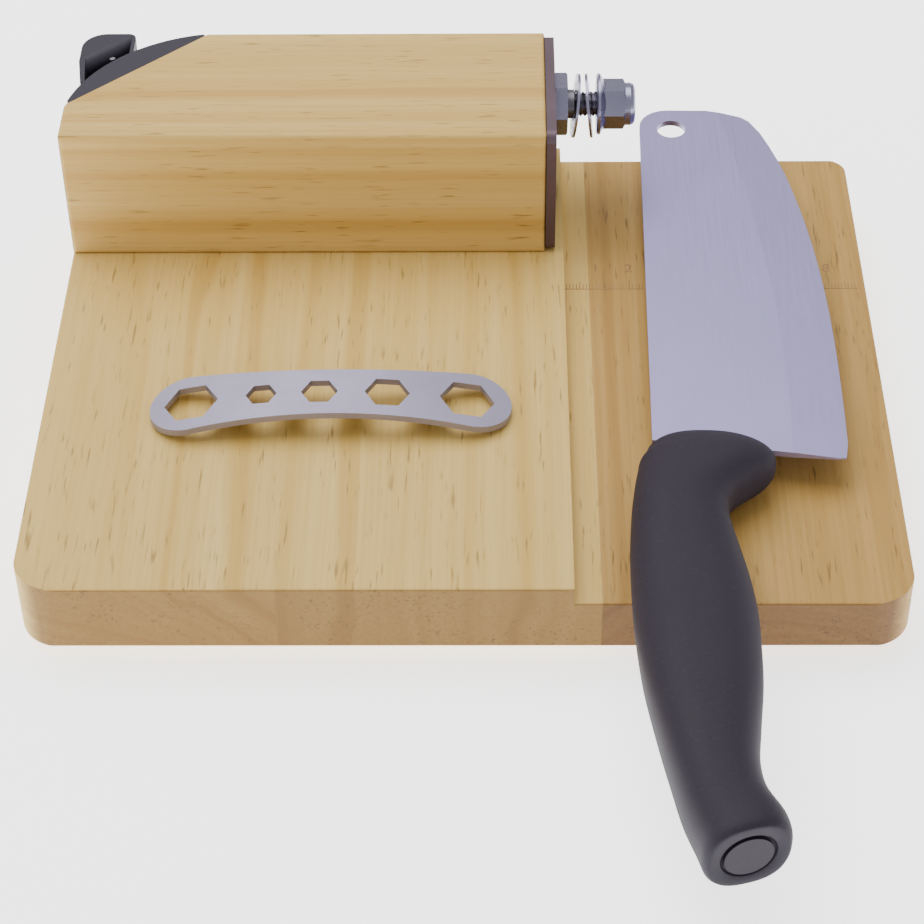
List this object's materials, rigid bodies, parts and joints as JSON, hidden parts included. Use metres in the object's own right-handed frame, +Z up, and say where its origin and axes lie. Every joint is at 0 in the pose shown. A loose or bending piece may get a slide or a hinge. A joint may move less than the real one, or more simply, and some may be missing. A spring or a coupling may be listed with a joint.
{
  "type": "board-mounted slicer",
  "caption": "Wooden slicing board with a stepped deck, a rear block with guide plate, threaded pivot stud and corner sharpener, a loose pivoting knife and a flat arched spanner.",
  "frame": {"origin": "on the floor, under the middle of the whole footprint of board and lying knife", "axes": "+X to the right along the board's width, +Y to the rear where the pivot block stands, +Z up"},
  "size_m": [0.24, 0.3048, 0.0692],
  "materials": {
    "wood_light": "oiled, fine straight grain",
    "wood_dark": "oiled, fine straight grain, darker stave",
    "wood_block": "oiled, grain along the block",
    "plate_steel": "dull dark grey steel",
    "zinc_steel": "bright zinc plating",
    "bush_steel": "dull steel",
    "screw_steel": "plain steel",
    "insert_brass": "plain brass",
    "nylon": "matte",
    "blade_steel": "fine satin",
    "handle_plastic": "matte, fine speckle",
    "spanner_steel": "satin",
    "sharpener_plastic": "matte",
    "rod_steel": "ground",
    "rubber": "matte"
  },
  "bodies": {
    "slicer": {"board_stave_left": "wood_light", "board_stave_middle": "wood_light", "board_stave_right": "wood_dark", "pivot_block": "wood_block", "block_screws": "screw_steel", "guide_plate": "plate_steel", "plate_screws": "screw_steel", "threaded_insert": "insert_brass", "pivot_stud": "zinc_steel", "lock_nut": "zinc_steel", "pivot_bush": "bush_steel", "sharpener_base": "sharpener_plastic", "sharpener_hood": "sharpener_plastic", "sharpener_rods": "rod_steel", "sharpener_screws": "screw_steel", "hood_screws": "screw_steel", "rubber_feet": "rubber", "foot_screws": "screw_steel"},
    "nut_carrier": {"nylon_insert": "nylon"},
    "nut": {"flange_nut": "zinc_steel"},
    "washer_in": {"inner_washer": "zinc_steel"},
    "washer_out": {"outer_washer": "zinc_steel"},
    "knife": {"knife_blade": "blade_steel", "knife_handle": "handle_plastic", "handle_plug": "handle_plastic"},
    "spanner": {"spanner": "spanner_steel"}
  },
  "joints": [
    {"name": "knife_lift", "type": "slide", "parent": "slicer", "child": "knife", "axis": [0, 0, 1], "range_m": [0, 0.15]},
    {"name": "spanner_lift", "type": "slide", "parent": "slicer", "child": "spanner", "axis": [0, 0, 1], "range_m": [0, 0.1]},
    {"name": "nut_travel", "type": "slide", "parent": "slicer", "child": "nut_carrier", "axis": [1, 0, 0], "range_m": [-0.00027, 0.01062]},
    {"name": "nut_turn", "type": "hinge", "parent": "nut_carrier", "child": "nut", "pos_m": [0.045, 0.12107, 0.0562], "axis": [1, 0, 0], "range_deg": [-72, 3053]},
    {"name": "inner_washer_play", "type": "slide", "parent": "slicer", "child": "washer_in", "axis": [1, 0, 0], "range_m": [-0.0001, 0.0003]},
    {"name": "outer_washer_play", "type": "slide", "parent": "slicer", "child": "washer_out", "axis": [1, 0, 0], "range_m": [-0.0002, 0.0002]}
  ],
  "couplings": [
    {"joint": "nut_travel", "follows": "nut_turn", "m_per_rad": 0.00019894}
  ]
}
